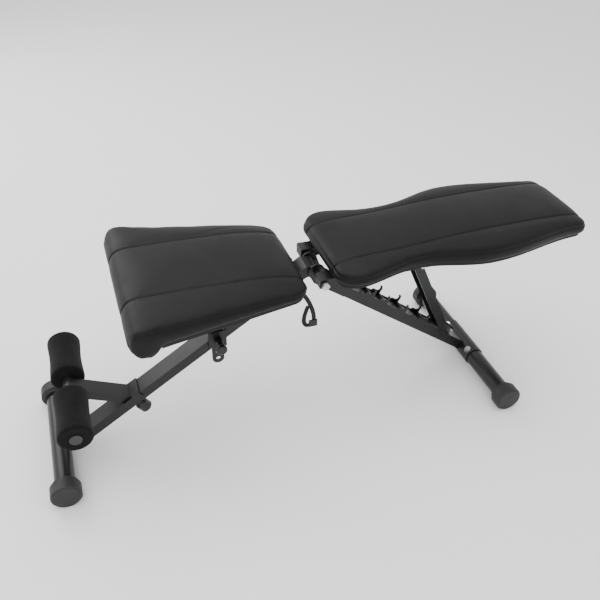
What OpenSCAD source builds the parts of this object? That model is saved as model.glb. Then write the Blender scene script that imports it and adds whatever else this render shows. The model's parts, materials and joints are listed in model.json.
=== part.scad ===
// Folding adjustable weight bench.
// Millimetres, +Z up. X runs along the bench: the leg rollers are at -X and the head end at +X.
// The origin is on the floor, halfway along and halfway across the bench.

/* [Feet] */
// Outside diameter of the round foot bars
foot_tube_d = 45; // [42:1:48]
// Length of the front foot bar over its caps
front_foot_len = 342; // [320:2:440]
// Length of the rear foot bar over its caps
rear_foot_len = 472; // [400:2:520]
// Outside diameter of the rubber caps
cap_d = 68; // [64:1:72]
// Place of the front foot bar along the bench
front_foot_x = -627; // [-640:1:-620]
// Place of the rear foot bar along the bench
rear_foot_x = 460; // [456:1:466]

/* [Frame] */
// Place of the hinge axle along the bench
axle_x = -8; // [-10:1:-6]
// Height of the hinge axle
axle_z = 402; // [400:1:404]
// Slope of the front beam
beam_angle = 33.9; // [33.5:0.1:34.3]
// Slope of the rear ladder beam
ladder_angle = 37.1; // [36.8:0.1:37.4]
// Width of the front beam
beam_w = 45; // [44:0.5:45]
// Depth of both beams
beam_h = 25; // [24:0.5:26]
// Wall of the beams and bars
wall = 2; // [1.5:0.25:3]
// Diameter of the hinge axle
axle_d = 10; // [8:1:10]

/* [Leg rollers] */
// Place of the roller bar along the bench
roller_x = -578; // [-584:1:-572]
// Height of the roller bar
roller_z = 193; // [188:1:198]
// Diameter of the roller bar
roller_bar_d = 24; // [20:1:26]
// Diameter of the foam rollers
foam_d = 75; // [65:1:80]
// Half the distance over the two foam rollers
foam_reach = 156; // [148:1:165]

/* [Pads] */
// Front end of the seat
seat_front = -446; // [-450:1:-440]
// Rear end of the seat
seat_rear = -58; // [-62:1:-57]
// Hinge end of the backrest
back_start = 3; // [2:1:6]
// Head end of the backrest
back_end = 661; // [640:1:665]
// Half width of the backrest at the shoulders
shoulder_half = 145; // [135:1:150]
// Half width of the backrest at its waist
waist_half = 112; // [105:1:120]

/* [Adjusters] */
// Distances of the backrest catches from the axle, along the ladder beam
catch_s = [483.8, 385, 300, 228, 178];
// Pitch of the holes in the seat link
link_pitch = 20.7; // [19:0.1:21.5]
// Number of holes in the seat link
link_holes = 4; // [3:1:5]

/* [Hidden] */
$fn = 64;
hull_fn = 32;
gap = 0.3;             // play between bodies that pass each other
fit = 0.05;            // radial play of a pin in its bore
foot_z = cap_d/2 - 0.8; // the caps have a small flat on the floor

// Stack across the hinge, as distances from the centre plane
ladder_half = 23.1;
cheek_t = 3;
rail_in = 46;
rail_w = 30;
rail_out = rail_in + rail_w;
rail_top = 416;
rail_h = 23;
board_t = 12;

// Front beam, in its own space: distance of its underside above the axle line
beam_low = 1.4;
beam_top = beam_low + beam_h;
knuckle_len = 26;
front_cut_x = -561;

// Ladder beam, in its own space
ladder_top = -1.5;
ladder_low = ladder_top - beam_h - 1;
ladder_start = 62;      // clear of the front beam when the rear frame is folded
catch_v = 13.5;
pin_d = 12;
pocket_r = pin_d/2 + 0.4;
hook_r = 12.5;
strip_h = 3;
hook_low = ladder_top + strip_h - catch_v;

// Roller arm
arm_angle = 27.3;
arm_w = 40;
arm_h = 22;
stud_u = -524.6;
saddle_t = 3;

// Seat pivot and its adjusting link
seat_pivot = [-66, 403];
ear_in = 25.3;
ear_t = 3;
seat_bottom = 412;
roll_r = 38;            // radius of the seat's front roll
pin_pos = [-243, 268];
link_top = [-243, 378];
link_in = 23.3;
link_t = 3;
link_w = 28;
guide_in = link_in + link_t + 0.7;
guide_t = 3;
barrel_end = 53;

bolt_lean = 41;         // lean of the saddle's bolts toward the ladder beam

// Strut: pivot under the backrest, and the catch pin in the lowest catch
strut_pivot = [234, 404];
catch_pos = [axle_x + catch_s[0]*cos(ladder_angle) + catch_v*sin(ladder_angle),
             axle_z - catch_s[0]*sin(ladder_angle) + catch_v*cos(ladder_angle)];
strut_dx = catch_pos[0] - strut_pivot[0];
strut_dz = strut_pivot[1] - catch_pos[1];
strut_len = sqrt(strut_dx*strut_dx + strut_dz*strut_dz);
strut_lean = atan(strut_dx/strut_dz);
flange_in = 24;
flange_t = 3;
flange_out = flange_in + flange_t;

// Finishes
powder_black = "#2b2d30";
satin_black = "#36383b";
rubber_black = "#1d1e20";
vinyl_black = "#303236";
foam_black = "#212223";
zinc = "#c9ccd0";
plywood = "#2a2622";

// ---- Spaces and small shapes ----

// Along the front beam: +X uphill, +Z out of its top face, from the axle
module beam_space() translate([axle_x, 0, axle_z]) rotate([0, -beam_angle, 0]) children();

// Along the ladder beam: +X downhill, +Z out of its top face, from the axle
module ladder_space() translate([axle_x, 0, axle_z]) rotate([0, ladder_angle, 0]) children();

// Along the strut: +Z from the catch pin up to the strut's pivot
module strut_space()
    translate([catch_pos[0], 0, catch_pos[1]]) rotate([0, -strut_lean, 0]) children();

// Puts a drawing of X and Z between two distances across the bench
module slab_y(y0, y1) translate([0, y1, 0]) rotate([90, 0, 0]) linear_extrude(y1 - y0) children();

// Round bar across the bench
module bar_y(d, y0, y1) translate([0, y0, 0]) rotate([-90, 0, 0]) cylinder(d = d, h = y1 - y0);

// Hexagon across the bench
module hex_y(flats, y0, y1)
    translate([0, y0, 0]) rotate([-90, 0, 0]) cylinder(d = flats/cos(30), h = y1 - y0, $fn = 6);

// Bolt across the bench with a hexagon head at one end
module bolt_y(d, y0, y1, head = 7, flats = 16) {
    bar_y(d, y0, y1);
    hex_y(flats, y0 - head, y0);
}

// Rectangular tube along X
module box_tube(x0, x1, w, z0, z1) difference() {
    translate([x0, -w/2, z0]) cube([x1 - x0, w, z1 - z0]);
    translate([x0 - 1, -w/2 + wall, z0 + wall]) cube([x1 - x0 + 2, w - 2*wall, z1 - z0 - 2*wall]);
}

// Round tube across the bench, centred
module tube_y(d, len, t) difference() {
    bar_y(d, -len/2, len/2);
    bar_y(d - 2*t, -len/2 - 1, len/2 + 1);
}

// Everything under the floor, for the caps' flats
module below_floor() translate([-1000, -500, -100]) cube([2000, 1000, 100]);

// ---- Front frame ----

module front_beam() color(powder_black) difference() {
    beam_space() box_tube(-680, -knuckle_len, beam_w, beam_low, beam_top);
    translate([front_cut_x - 300, -100, -100]) cube([300, 200, 300]);
    beam_space() translate([stud_u, 0, 0]) cylinder(d = 8.4, h = 60, center = true);
    translate([pin_pos[0], 0, pin_pos[1]]) bar_y(8.6, -40, 0);
}

module beam_knuckle() color(powder_black) beam_space() difference() {
    slab_y(-beam_w/2, beam_w/2) {
        circle(r = 12);
        polygon([[-knuckle_len, beam_low], [-knuckle_len, beam_top], [-10, beam_top],
                 [7.6, 8.4], [0, 0], [-8, -8]]);
    }
    bar_y(axle_d + 2*fit, -beam_w, beam_w);
}

module front_neck() color(powder_black) difference() {
    translate([0, 0, foot_z - 2]) box_tube(front_foot_x, front_cut_x, 32, 0, 24);
    translate([front_foot_x, 0, foot_z]) bar_y(foot_tube_d, -50, 50);
}

module crossbar(x, len) translate([x, 0, foot_z]) tube_y(foot_tube_d, len - 8, wall);

module front_crossbar() color(satin_black) crossbar(front_foot_x, front_foot_len);

// Stepped rubber cap over the end of a foot bar; side is -1 for near and 1 for far
module foot_cap(x, len, side) color(rubber_black) difference() {
    translate([x, 0, foot_z]) rotate([-90*side, 0, 0]) translate([0, 0, len/2 - 38]) rotate_extrude($fn = 96)
        polygon([[foot_tube_d/2, 0], [cap_d/2 - 5, 0], [cap_d/2 - 5, 5], [cap_d/2, 8], [cap_d/2, 34],
                 [cap_d/2 - 3.5, 38], [0, 38], [0, 34], [foot_tube_d/2, 34]]);
    below_floor();
}
module front_cap_near() foot_cap(front_foot_x, front_foot_len, -1);
module front_cap_far() foot_cap(front_foot_x, front_foot_len, 1);

module roller_arm() color(powder_black) difference() {
    translate([roller_x, 0, roller_z]) rotate([0, arm_angle, 0]) box_tube(0, 170, arm_w, -arm_h/2, arm_h/2);
    beam_space() translate([stud_u - 200, -60, beam_top + saddle_t - 200]) cube([400, 120, 200]);
    translate([roller_x, 0, roller_z]) bar_y(roller_bar_d, -60, 60);
}

module arm_saddle() color(powder_black) beam_space() difference() {
    translate([stud_u - 34, -beam_w/2 - saddle_t, beam_top - 14])
        cube([66, beam_w + 2*saddle_t, 14 + saddle_t]);
    translate([stud_u - 50, -beam_w/2, beam_top - 30]) cube([100, beam_w, 30]);
}

module arm_stud() color(zinc) beam_space() translate([stud_u, 0, -40]) cylinder(d = 8, h = 40 + beam_top);

// Clamping knob, an upright disc on a short boss
module arm_knob() color(rubber_black) beam_space() translate([stud_u, 0, 0]) difference() {
    rotate_extrude() polygon([[0, -45], [12, -45], [15, -42], [15, -20], [12, -16], [9, -13],
                              [9, beam_low - gap], [0, beam_low - gap]]);
    translate([0, 0, -41]) cylinder(d = 8 + 2*fit, h = 60);
}

module roller_bar() color(satin_black)
    translate([roller_x, 0, roller_z]) tube_y(roller_bar_d, 2*foam_reach - 4, wall);

module bar_plug(side) color(rubber_black) translate([roller_x, 0, roller_z]) rotate([-90*side, 0, 0])
    translate([0, 0, foam_reach - 2]) {
        translate([0, 0, -14]) cylinder(d = roller_bar_d - 2*wall, h = 14);
        cylinder(d = roller_bar_d + 3, h = 3);
    }
module bar_plug_near() bar_plug(-1);
module bar_plug_far() bar_plug(1);

// Foam roller, slightly waisted, with rounded ends
module foam(side) {
    len = foam_reach - 28;
    r = foam_d/2;
    color(foam_black) translate([roller_x, 0, roller_z]) rotate([-90*side, 0, 0]) translate([0, 0, 26])
        rotate_extrude() polygon(concat(
            [[roller_bar_d/2 + 0.08, 0]],
            [for (a = [-90:15:0]) [r - 9 + 9*cos(a), 9 + 9*sin(a)]],
            [for (i = [1:7]) [r - 1.5 + 1.5*cos(360*i/8), 9 + (len - 18)*i/8]],
            [for (a = [0:15:90]) [r - 9 + 9*cos(a), len - 9 + 9*sin(a)]],
            [[roller_bar_d/2 + 0.08, len]]));
}
module foam_near() foam(-1);
module foam_far() foam(1);

module seat_pivot_sleeve() color(powder_black) difference() {
    union() {
        translate([seat_pivot[0], 0, seat_pivot[1]]) bar_y(14, -25, 25);
        translate([seat_pivot[0] - 6, -20, seat_pivot[1] - 16]) cube([10, 40, 16]);
    }
    beam_space() translate([-200, -60, beam_top - 100]) cube([190, 120, 100]);
    translate([seat_pivot[0], 0, seat_pivot[1]]) bar_y(8 + 2*fit, -30, 30);
}

// Plate outside the link with the pull pin's barrel, held off the beam by two legs
module pin_guide() color(powder_black) translate([pin_pos[0], 0, pin_pos[1]]) difference() {
    union() {
        translate([-21, -guide_in - guide_t, -24]) cube([42, guide_t, 46]);
        bar_y(18, -barrel_end, -guide_in - guide_t);
    }
    bar_y(8 + 2*fit, -barrel_end - 1, -20);
    bar_y(14, -barrel_end + 3, -guide_in - 1);
}

module guide_legs() color(powder_black) translate([pin_pos[0], 0, pin_pos[1]]) {
    translate([-21, -guide_in, -24]) cube([3, guide_in - beam_w/2, 30]);
    translate([18, -guide_in, -8]) cube([3, guide_in - beam_w/2, 30]);
}

// Coil spring around the plunger
module pin_spring() color(zinc) translate([pin_pos[0], 0, pin_pos[1]])
    for (i = [0:3]) rotate([90, 0, 0]) translate([0, 0, 42.6 + 1.9*i])
        rotate_extrude($fn = 32) translate([5.6, 0]) circle(d = 1.2, $fn = 16);

module pull_pin() color(zinc) translate([pin_pos[0], 0, pin_pos[1]]) {
    bar_y(8, -66, -link_in - link_t - gap);
    bar_y(13, -33, -31);
}

module pull_knob() color(rubber_black) translate([pin_pos[0], 0, pin_pos[1]]) difference() {
    rotate([90, 0, 0]) translate([0, 0, barrel_end + gap]) rotate_extrude()
        polygon([[0, 0], [8, 0], [8, 4], [12, 7], [13, 12], [12, 17], [9, 19], [0, 19]]);
    bar_y(8, -66, 0);
}

module axle_bolt() color(zinc) translate([axle_x, 0, axle_z]) bolt_y(axle_d, -rail_out - 2.4, rail_out + 12);

module axle_nut() color(zinc) translate([axle_x, 0, axle_z]) difference() {
    hex_y(16, rail_out + 2.4, rail_out + 10);
    bar_y(axle_d, 0, rail_out + 20);
}

// Spacer tubes between the cheeks and the rails, and a washer under the head and under the nut
module axle_spacers() color(satin_black) translate([axle_x, 0, axle_z]) for (side = [-1, 1]) difference() {
    union() {
        rotate([-90*side, 0, 0]) translate([0, 0, ladder_half + cheek_t + gap])
            cylinder(d = 14, h = rail_in - ladder_half - cheek_t - 2*gap);
        rotate([-90*side, 0, 0]) translate([0, 0, rail_out + gap]) cylinder(d = 20, h = 2.1);
    }
    bar_y(axle_d, -100, 100);
}

// ---- Seat ----

// Seat seen from above, drawn smaller by an inset
module seat_outline(inset = 0) hull() for (side = [-1, 1]) {
    translate([seat_front + 28, side*162]) circle(r = 28 - inset, $fn = hull_fn);
    translate([seat_rear - 45, side*94]) circle(r = 45 - inset, $fn = hull_fn);
}

module layer(z0, z1) translate([0, 0, z0]) linear_extrude(z1 - z0) children();

module seat_board() color(plywood) intersection() {
    layer(seat_bottom, seat_bottom + board_t) seat_outline(8);
    translate([seat_front + 64, -300, 0]) cube([1000, 600, 1000]);
}

// Flat cushion with a thick rolled front end and a lower, rounded rear end
module seat_pad() color(vinyl_black) {
    pad_low = seat_bottom + board_t;
    roll_x = seat_front + roll_r;
    intersection() {
        union() {
            layer(pad_low, pad_low + 38) seat_outline();
            layer(pad_low + 37, pad_low + 46) seat_outline(8);
            layer(pad_low + 45, pad_low + 53) seat_outline(20);
        }
        translate([0, 0, pad_low]) slab_y(-300, 300) polygon([[seat_rear + 5, 0], [seat_rear, 8],
            [seat_rear - 6, 20], [seat_rear - 12, 29], [seat_rear - 22, 35], [seat_rear - 51, 43],
            [seat_rear - 96, 49], [seat_rear - 185, 53], [roll_x, 53], [roll_x, 0]]);
    }
    intersection() {
        union() {
            layer(pad_low - 30, pad_low + 40) seat_outline();
            layer(pad_low + 39, pad_low + 53) seat_outline(10);
        }
        translate([roll_x, 0, pad_low + 10]) bar_y(2*roll_r, -300, 300);
        translate([seat_front - 10, -300, 0]) cube([roll_r + 20.5, 600, 1000]);
    }
}

// The two hinge ears of the seat, each an upright plate with a flange under the board
module seat_ears() color(powder_black) difference() {
    for (side = [-1, 1]) mirror([0, side < 0 ? 1 : 0, 0]) {
        translate([seat_pivot[0] - 18, ear_in, seat_pivot[1]]) cube([36, ear_t, seat_bottom - seat_pivot[1]]);
        translate([seat_pivot[0], 0, seat_pivot[1]]) bar_y(18, ear_in, ear_in + ear_t);
        translate([seat_pivot[0] - 30, ear_in, seat_bottom - 2.5]) cube([42, 26, 2.5]);
    }
    translate([seat_pivot[0], 0, seat_pivot[1]]) bar_y(8, -60, 60);
}

module seat_pivot_bolt() color(zinc) translate([seat_pivot[0], 0, seat_pivot[1]]) {
    bolt_y(8, -ear_in - ear_t, ear_in + ear_t + 8, 5, 12);
    hex_y(12, ear_in + ear_t, ear_in + ear_t + 6);
}

// Angle under the board that carries the top of the link
module link_lug() color(powder_black) difference() {
    union() {
        translate([link_top[0] - 12, -guide_in - guide_t, link_top[1]])
            cube([24, guide_t, seat_bottom - link_top[1]]);
        translate([link_top[0], 0, link_top[1]]) bar_y(24, -guide_in - guide_t, -guide_in);
        translate([link_top[0] - 24, -guide_in - guide_t - 30, seat_bottom - 3]) cube([48, 31, 3]);
    }
    translate([link_top[0], 0, link_top[1]]) bar_y(8, -60, 0);
}

module link_bolt() color(zinc) translate([link_top[0], 0, link_top[1]]) {
    bolt_y(8, -guide_in - guide_t, -link_in + 5, 5, 13);
    bar_y(13, -link_in + 0.5, -link_in + 5);
}

// Flat bar with rounded ends and a row of holes
module seat_link() color(satin_black) difference() {
    slab_y(-link_in - link_t, -link_in) {
        translate(link_top) circle(d = 22);
        translate([link_top[0] - link_w/2, pin_pos[1] - (link_holes - 1)*link_pitch])
            square([link_w, link_top[1] - 14 - pin_pos[1] + (link_holes - 1)*link_pitch]);
        polygon([[link_top[0] - link_w/2, link_top[1] - 14], [link_top[0] + link_w/2, link_top[1] - 14],
                 [link_top[0] + 11, link_top[1]], [link_top[0] - 11, link_top[1]]]);
        translate([link_top[0], pin_pos[1] - (link_holes - 1)*link_pitch]) circle(d = link_w);
    }
    translate([link_top[0], 0, link_top[1]]) bar_y(8 + 2*fit, -60, 0);
    for (i = [0:link_holes - 1])
        translate([pin_pos[0], 0, pin_pos[1] - i*link_pitch]) bar_y(10.5, -60, 0);
}

// Screw heads under the seat's ears and lug
module seat_screws() color(zinc) {
    for (side = [-1, 1]) for (x = [seat_pivot[0] - 22, seat_pivot[0] + 4])
        translate([x, side*(ear_in + 19), seat_bottom - 6.5]) cylinder(d = 11, h = 4);
    for (x = [-15, 15]) translate([link_top[0] + x, -guide_in - guide_t - 18, seat_bottom - 7])
        cylinder(d = 11, h = 4);
}

// Storage strap that hangs in a loop behind the seat's near rear corner
module strap() color(rubber_black) slab_y(-81, -79) difference() {
    polygon([[-86, 412], [-72, 412], [-50, 392], [-38, 368], [-28, 330], [-26, 304], [-50, 292], [-58, 300],
             [-58, 330], [-52, 360], [-62, 388]]);
    polygon([[-50, 305], [-40, 308], [-37, 326], [-43, 352], [-48, 330]]);
}

module strap_tab() color(rubber_black) translate([-44, -84.6, 296]) cube([20, 3.5, 18]);

// ---- Backrest ----

// A smooth step from 0 to 1
function ease(t) = (1 - cos(180*min(max(t, 0), 1)))/2;

// Half width of the backrest along its length, before its ends are rounded
function back_half(x) =
    x < 205 ? (shoulder_half - 4) + (waist_half - shoulder_half + 4)*ease((x - 35)/170)
    : x < 385 ? waist_half + (shoulder_half - waist_half)*ease((x - 205)/180)
    : shoulder_half + (waist_half - shoulder_half)*ease((x - 385)/260);

// How much an elliptical corner of a length and a width takes off, at a distance from the end
function corner_loss(d, length, width) =
    d >= length ? 0 : width*(1 - sqrt(max(0, 1 - (1 - d/length)*(1 - d/length))));

function back_edge(x) = back_half(x)
    - corner_loss(x - back_start, 66, 50) - corner_loss(back_end - x, 28, 28);

// Backrest seen from above, drawn smaller by an inset
module back_outline(inset = 0) {
    steps = 44;
    x0 = back_start + inset;
    x1 = back_end - inset;
    xs = [for (i = [0:steps]) let (t = (1 - cos(180*i/steps))/2) x0 + (x1 - x0)*t];
    polygon(concat(
        [for (x = xs) [x, -back_edge(min(max(x, back_start + 0.01), back_end - 0.01)) + inset]],
        [for (i = [0:steps]) let (x = xs[steps - i]) [x, back_edge(x) - inset]]));
}

module backrest_board() color(plywood) layer(rail_top, rail_top + board_t) back_outline(12);

// Cushion that is lower and rounded at the hinge end, with a small roll-off at the head end
module backrest_pad() color(vinyl_black) {
    pad_low = rail_top + board_t;
    intersection() {
        union() {
            layer(pad_low, pad_low + 36) back_outline();
            layer(pad_low + 35, pad_low + 44) back_outline(8);
            layer(pad_low + 43, pad_low + 53) back_outline(20);
        }
        translate([0, 0, pad_low]) slab_y(-300, 300) polygon([[back_start, 0], [back_start, 14],
            [back_start + 6, 25], [back_start + 17, 33], [back_start + 32, 37], [back_start + 59, 41],
            [back_start + 140, 44], [back_start + 230, 50], [back_start + 330, 53], [back_end - 60, 53],
            [back_end - 18, 46], [back_end - 6, 36], [back_end, 24], [back_end, 0]]);
    }
}

module rail(side) color(powder_black) difference() {
    translate([0, side*(rail_in + rail_w/2), 0])
        box_tube(axle_x - 9, 420, rail_w, rail_top - rail_h, rail_top);
    translate([axle_x, 0, axle_z]) bar_y(axle_d + 2*fit, -100, 100);
    translate([strut_pivot[0], 0, strut_pivot[1]]) bar_y(10, -100, 100);
}
module rail_near() rail(-1);
module rail_far() rail(1);

module rail_plugs() color(rubber_black) for (side = [-1, 1]) for (x = [axle_x - 11, 420])
    translate([x, side*(rail_in + rail_w/2) - rail_w/2, rail_top - rail_h]) cube([2, rail_w, rail_h]);

module rail_tie() color(powder_black) translate([396, 0, 0]) rotate(90)
    box_tube(-rail_in, rail_in, 24, rail_top - 20, rail_top);

module backrest_screws() color(zinc) for (side = [-1, 1]) for (x = [70, 350])
    translate([x, side*(rail_in + rail_w/2), rail_top - rail_h - 4]) cylinder(d = 12, h = 4);

module strut_pivot_bolt() color(zinc) translate([strut_pivot[0], 0, strut_pivot[1]]) {
    bolt_y(10, -rail_out, rail_out + 10, 6);
    hex_y(17, rail_out, rail_out + 7);
}

module strut_spacers() color(satin_black) translate([strut_pivot[0], 0, strut_pivot[1]]) for (side = [-1, 1])
    difference() {
        rotate([-90*side, 0, 0]) translate([0, 0, flange_out + gap])
            cylinder(d = 16, h = rail_in - flange_out - gap);
        bar_y(10, -100, 100);
    }

// ---- Strut ----

// Side plate of the strut; the two straddle the ladder beam
module strut_side(y) color(satin_black) strut_space() difference() {
    slab_y(y, y + flange_t) {
        polygon([[-24, -12], [2, -12.8], [12, -5], [12, 5], [2, 36], [11.5, strut_len], [-11.5, strut_len]]);
        circle(r = 13);
        translate([0, strut_len]) circle(r = 11.5);
    }
    bar_y(pin_d, -60, 60);
    translate([0, 0, strut_len]) bar_y(10 + 2*fit, -60, 60);
}
module strut_side_near() strut_side(-flange_out);
module strut_side_far() strut_side(flange_in);

module strut_web() color(satin_black) strut_space() slab_y(-flange_in, flange_in)
    polygon([[-0.7, 46], [2.3, 46], [10.2, strut_len - 36], [7.2, strut_len - 36]]);

module catch_pin() color(zinc) strut_space() bar_y(pin_d, -40, 36);

module strut_bumper() color(rubber_black) strut_space() translate([-16, 0, 112]) {
    bar_y(12, flange_out, flange_out + 3);
    bar_y(28, flange_out + 3, flange_out + 15);
}

// ---- Rear frame ----

module ladder_beam() color(powder_black) difference() {
    ladder_space() box_tube(ladder_start, 620, 2*ladder_half, ladder_low, ladder_top);
    translate([rear_foot_x, 0, foot_z]) bar_y(foot_tube_d + 6, -60, 60);
    translate([rear_foot_x, -60, -50]) cube([200, 120, 200]);
}

module cheek(y0) color(powder_black) ladder_space() difference() {
    slab_y(y0, y0 + cheek_t) {
        circle(r = 20);
        polygon([[-2, -19.5], [14, ladder_low], [ladder_start + 50, ladder_low],
                 [ladder_start + 50, ladder_top], [38, ladder_top], [14, 14]]);
    }
    bar_y(axle_d + 2*fit, -60, 60);
}
module cheek_near() cheek(-ladder_half - cheek_t);
module cheek_far() cheek(ladder_half);

// Outline of one hook around the middle of the pin it holds. The lowest catch holds the pin when the
// frame is folded, so it opens straight up; the others curl over toward the hinge.
module hook(open_top) difference() {
    union() {
        translate([0.5, -1.5]) circle(r = hook_r);
        polygon([[-15, hook_low], [hook_r + 3, hook_low], [hook_r, -3], [-hook_r + 2, -5]]);
    }
    circle(r = pocket_r);
    translate([-40, hook_low - 40]) square([80, 40]);
    translate([-40, -pocket_r]) square([40, 8]);
    if (open_top) translate([-40, 0]) square([40 + pocket_r, 40]);
    if (!open_top) polygon([[0, 0], [-40, -pocket_r], [-40, 40], [0, 40], [hook_r*cos(68), hook_r*sin(68)]]);
}

module hooks(y0) color(powder_black) ladder_space() for (i = [0:4])
    slab_y(y0, y0 + 3) translate([catch_s[i], catch_v]) hook(i == 0);
module hooks_near() hooks(-ladder_half);
module hooks_far() hooks(ladder_half - 3);

// Strips along the beam's edges that the hooks stand on
module catch_strips() color(powder_black) ladder_space() for (y0 = [-ladder_half, ladder_half - 3])
    translate([catch_s[4] - 30, y0, ladder_top]) cube([catch_s[0] - catch_s[4] + 50, 3, strip_h]);

module catch_ribs() color(powder_black) ladder_space() for (s = catch_s)
    translate([s + 3, -ladder_half + 3, ladder_top]) cube([3, 2*ladder_half - 6, 8]);

// Curved saddle between the ladder beam and the rear foot bar
module rear_saddle() color(powder_black) translate([rear_foot_x, 0, foot_z]) difference() {
    tube_y(foot_tube_d + 6, 130, 3);
    translate([4, -100, -60]) cube([60, 200, 60]);
    for (side = [-1, 1]) translate([0, side*54, 0]) rotate([0, -bolt_lean, 0]) cylinder(d = 8, h = 60);
}

module rear_crossbar() color(satin_black) difference() {
    crossbar(rear_foot_x, rear_foot_len);
    for (side = [-1, 1]) translate([rear_foot_x, side*54, foot_z]) rotate([0, -bolt_lean, 0])
        cylinder(d = 8, h = 60);
}

module rear_cap_near() foot_cap(rear_foot_x, rear_foot_len, -1);
module rear_cap_far() foot_cap(rear_foot_x, rear_foot_len, 1);

// Bolts that clamp the saddle to the foot bar
module saddle_bolts() color(zinc) for (side = [-1, 1])
    translate([rear_foot_x, side*54, foot_z]) rotate([0, -bolt_lean, 0]) {
        translate([0, 0, 12]) cylinder(d = 8, h = 14);
        translate([0, 0, foot_tube_d/2 + 3]) cylinder(d = 17/cos(30), h = 5.5, $fn = 6);
    }

front_beam();
beam_knuckle();
front_neck();
front_crossbar();
front_cap_near();
front_cap_far();
roller_arm();
arm_saddle();
arm_stud();
arm_knob();
roller_bar();
foam_near();
foam_far();
bar_plug_near();
bar_plug_far();
seat_pivot_sleeve();
pin_guide();
guide_legs();
pin_spring();
pull_pin();
pull_knob();
axle_bolt();
axle_nut();
axle_spacers();
seat_board();
seat_pad();
seat_ears();
seat_pivot_bolt();
link_lug();
link_bolt();
seat_link();
seat_screws();
strap();
strap_tab();
backrest_board();
backrest_pad();
rail_near();
rail_far();
rail_plugs();
rail_tie();
backrest_screws();
strut_pivot_bolt();
strut_spacers();
strut_side_near();
strut_side_far();
strut_web();
catch_pin();
strut_bumper();
ladder_beam();
cheek_near();
cheek_far();
catch_strips();
hooks_near();
hooks_far();
catch_ribs();
rear_saddle();
rear_crossbar();
rear_cap_near();
rear_cap_far();
saddle_bolts();
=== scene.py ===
"""Looks of the folding weight bench: soft pads, foam rollers, webbing, finishes, floor, light and camera."""

import json
import logging
import math
from dataclasses import dataclass, field
from enum import Enum
from typing import Callable, Optional, Sequence

import bmesh
import bpy
import numpy as np
from mathutils import Matrix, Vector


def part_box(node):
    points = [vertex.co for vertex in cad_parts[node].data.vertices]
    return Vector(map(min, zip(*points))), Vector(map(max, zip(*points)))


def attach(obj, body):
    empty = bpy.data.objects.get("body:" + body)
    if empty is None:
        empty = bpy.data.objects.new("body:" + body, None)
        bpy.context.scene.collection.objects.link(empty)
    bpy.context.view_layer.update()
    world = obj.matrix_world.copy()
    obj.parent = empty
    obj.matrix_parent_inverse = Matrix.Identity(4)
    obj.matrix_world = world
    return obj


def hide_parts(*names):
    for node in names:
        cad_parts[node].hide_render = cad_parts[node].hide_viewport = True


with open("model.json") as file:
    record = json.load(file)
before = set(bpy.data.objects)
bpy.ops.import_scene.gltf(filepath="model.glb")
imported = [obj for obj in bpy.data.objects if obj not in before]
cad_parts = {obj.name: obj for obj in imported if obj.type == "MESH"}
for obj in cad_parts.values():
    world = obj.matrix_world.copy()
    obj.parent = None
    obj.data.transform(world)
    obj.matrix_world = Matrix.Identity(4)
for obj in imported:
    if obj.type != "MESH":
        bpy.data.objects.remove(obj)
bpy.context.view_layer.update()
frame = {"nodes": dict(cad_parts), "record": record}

log = logging.getLogger("bench")

Array = np.ndarray
Color = tuple[float, float, float]
Table = tuple[tuple[float, float], ...]

MM = 0.001


# ---------------------------------------------------------------- numbers and grids


def smooth_step(t: Array) -> Array:
    """A smooth rise from 0 to 1: t squared times (3 minus 2t), with t held between 0 and 1."""
    t = np.clip(t, 0.0, 1.0)
    return t * t * (3.0 - 2.0 * t)


def ease(t: Array) -> Array:
    """A cosine rise from 0 to 1: half of (1 minus the cosine of half a turn times t)."""
    return (1.0 - np.cos(np.pi * np.clip(t, 0.0, 1.0))) / 2.0


def bell(distance: Array, width: float) -> Array:
    """A bell curve: the exponential of minus the squared distance over the width."""
    return np.exp(-((distance / width) ** 2))


def end_spaced(start: float, stop: float, count: int) -> Array:
    """Stations that crowd toward both ends: start plus the length times a cosine rise."""
    return start + (stop - start) * ease(np.linspace(0.0, 1.0, count))


def grid_faces(rows: int, cols: int, wrap: bool) -> Array:
    """Quads of a grid of points.

    Args:
        rows: how many rows of points there are.
        cols: how many points each row has.
        wrap: whether the last column joins the first.

    Returns:
        One row of four point numbers for each quad.
    """
    r = np.arange(rows - 1)[:, None]
    c = np.arange(cols if wrap else cols - 1)[None, :]
    d = (c + 1) % cols
    quads = np.stack([r * cols + c, r * cols + d, (r + 1) * cols + d, (r + 1) * cols + c], axis=-1)
    return quads.reshape(-1, 4)


def mesh_object(name: str, points: Array, faces: Sequence[Sequence[int]]) -> bpy.types.Object:
    """Makes a mesh object, merges doubled points and turns its faces outward.

    Args:
        name: the object's name.
        points: coordinates in metres, one row each.
        faces: point numbers of each face.

    Returns:
        The linked object.
    """
    mesh = bpy.data.meshes.new(name)
    mesh.from_pydata(points.reshape(-1, 3).tolist(), [], [list(map(int, f)) for f in faces])
    mesh.update()
    obj = bpy.data.objects.new(name, mesh)
    bpy.context.scene.collection.objects.link(obj)
    tidy_mesh(mesh)
    return obj


def tidy_mesh(mesh: bpy.types.Mesh, merge: float = 1e-6) -> None:
    """Merges doubled points, drops empty faces, turns faces outward and shades them smooth."""
    work = bmesh.new()
    work.from_mesh(mesh)
    bmesh.ops.remove_doubles(work, verts=work.verts, dist=merge)
    bmesh.ops.dissolve_degenerate(work, edges=work.edges, dist=merge)
    bmesh.ops.recalc_face_normals(work, faces=work.faces)
    work.to_mesh(mesh)
    work.free()
    mesh.shade_smooth()


def read_vectors(items: Sequence[object], key: str) -> Array:
    """One vector of each item of a mesh collection, as rows of three numbers."""
    flat = np.empty(len(items) * 3, np.float32)
    items.foreach_get(key, flat)
    return flat.reshape(-1, 3).astype(float)


def read_points(mesh: bpy.types.Mesh) -> Array:
    """The mesh's points."""
    return read_vectors(mesh.vertices, "co")


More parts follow.
